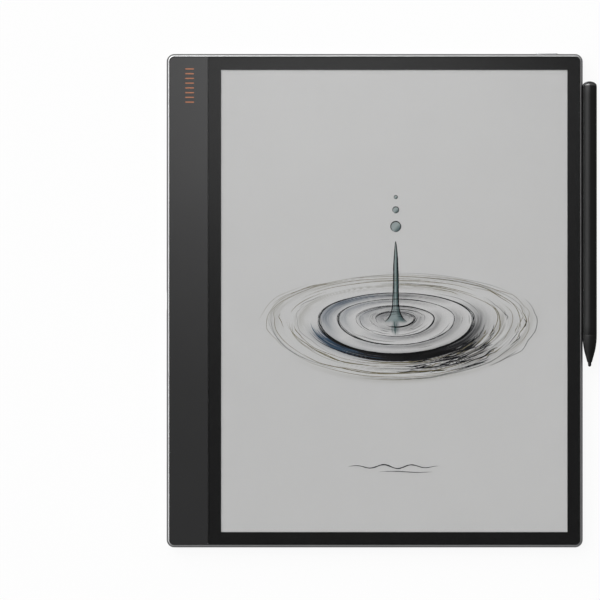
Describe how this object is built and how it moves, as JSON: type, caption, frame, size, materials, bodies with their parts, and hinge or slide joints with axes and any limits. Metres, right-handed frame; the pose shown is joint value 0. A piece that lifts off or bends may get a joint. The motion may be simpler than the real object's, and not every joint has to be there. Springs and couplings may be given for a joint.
{
  "type": "e-paper note tablet with stylus",
  "caption": "Thin handheld e-paper note tablet with a wide grip margin on the left, a power button, ports, speaker grilles and a stylus held by magnets.",
  "frame": {"origin": "centre of the tablet's flat back face", "axes": "+X towards the stylus side, +Y up the screen towards the power button's edge, +Z out of the screen"},
  "size_m": [0.1951, 0.2244, 0.0082],
  "materials": {
    "frame_anodised": "satin",
    "back_anodised": "matte",
    "inner_plate": "satin",
    "steel": "satin",
    "tinned_steel": "satin",
    "magnet": "satin",
    "cover_glass": "gloss",
    "black_film": "satin",
    "grip_margin": "matte",
    "carrier_plastic": "matte",
    "antenna_copper": "satin",
    "light_guide": "gloss",
    "lamps": "gloss",
    "epaper": "matte",
    "flex_film": "satin",
    "circuit_board": "satin",
    "chip_plastic": "matte",
    "connector_plastic": "satin",
    "gold_contact": "polished",
    "pouch_foil": "satin",
    "tape": "matte",
    "red_wire": "satin",
    "speaker_plastic": "satin",
    "gasket_rubber": "matte",
    "pen_black": "satin",
    "pen_tip_black": "satin",
    "nib_plastic": "matte",
    "ferrite": "matte",
    "copper_coil": "satin"
  },
  "bodies": {
    "tablet": {"frame": "frame_anodised", "rear_cover": "back_anodised", "mid_plate": "inner_plate", "midplate_screws": "steel", "cover_glass": "cover_glass", "mask_film": "black_film", "side_strip": "grip_margin", "strip_bracket": "carrier_plastic", "antennas": "antenna_copper", "light_guide": "light_guide", "light_bar": "lamps", "epaper_panel": "epaper", "panel_flex": "flex_film", "digitizer_board": "circuit_board", "digitizer_flex": "flex_film", "main_board": "circuit_board", "board_chips": "chip_plastic", "shield_can_processor": "tinned_steel", "shield_can_radio": "tinned_steel", "board_connectors": "connector_plastic", "board_screws": "steel", "usb_shell": "tinned_steel", "usb_tongue": "chip_plastic", "usb_contacts": "gold_contact", "card_socket": "tinned_steel", "card_contacts": "gold_contact", "battery_cell_left": "pouch_foil", "battery_cell_right": "pouch_foil", "battery_tape": "tape", "battery_board": "circuit_board", "battery_cable": "red_wire", "speaker_upper": "speaker_plastic", "speaker_lower": "speaker_plastic", "speaker_gaskets": "gasket_rubber", "microphone": "gold_contact", "mic_seal": "gasket_rubber", "button_switch": "chip_plastic", "button_bracket": "steel", "button_flex": "flex_film", "dock_magnets": "magnet"},
    "power_button": {"power_button": "frame_anodised"},
    "card_tray": {"card_tray": "frame_anodised"},
    "stylus": {"stylus_barrel": "pen_black", "stylus_cone": "pen_tip_black", "stylus_end_cap": "pen_black", "pen_coil": "copper_coil", "pressure_sensor": "tinned_steel", "stylus_board": "circuit_board", "stylus_magnets": "magnet"},
    "nib_carrier": {"nib_holder": "ferrite"},
    "nib": {"stylus_nib": "nib_plastic"}
  },
  "joints": [
    {"name": "power_button_press", "type": "slide", "parent": "tablet", "child": "power_button", "axis": [0, -1, 0], "range_m": [0, 0.0003], "stiffness_N_per_m": 2000, "springref_m": -0.0002},
    {"name": "card_tray_slide", "type": "slide", "parent": "tablet", "child": "card_tray", "axis": [-1, 0, 0], "range_m": [0, 0.024]},
    {"name": "stylus_detach", "type": "slide", "parent": "tablet", "child": "stylus", "axis": [1, 0, 0], "range_m": [0, 0.03]},
    {"name": "nib_press", "type": "slide", "parent": "stylus", "child": "nib_carrier", "axis": [0, 1, 0], "range_m": [0, 0.0003], "stiffness_N_per_m": 3000, "springref_m": -0.0001},
    {"name": "nib_pull", "type": "slide", "parent": "nib_carrier", "child": "nib", "axis": [0, -1, 0], "range_m": [0, 0.026]}
  ]
}
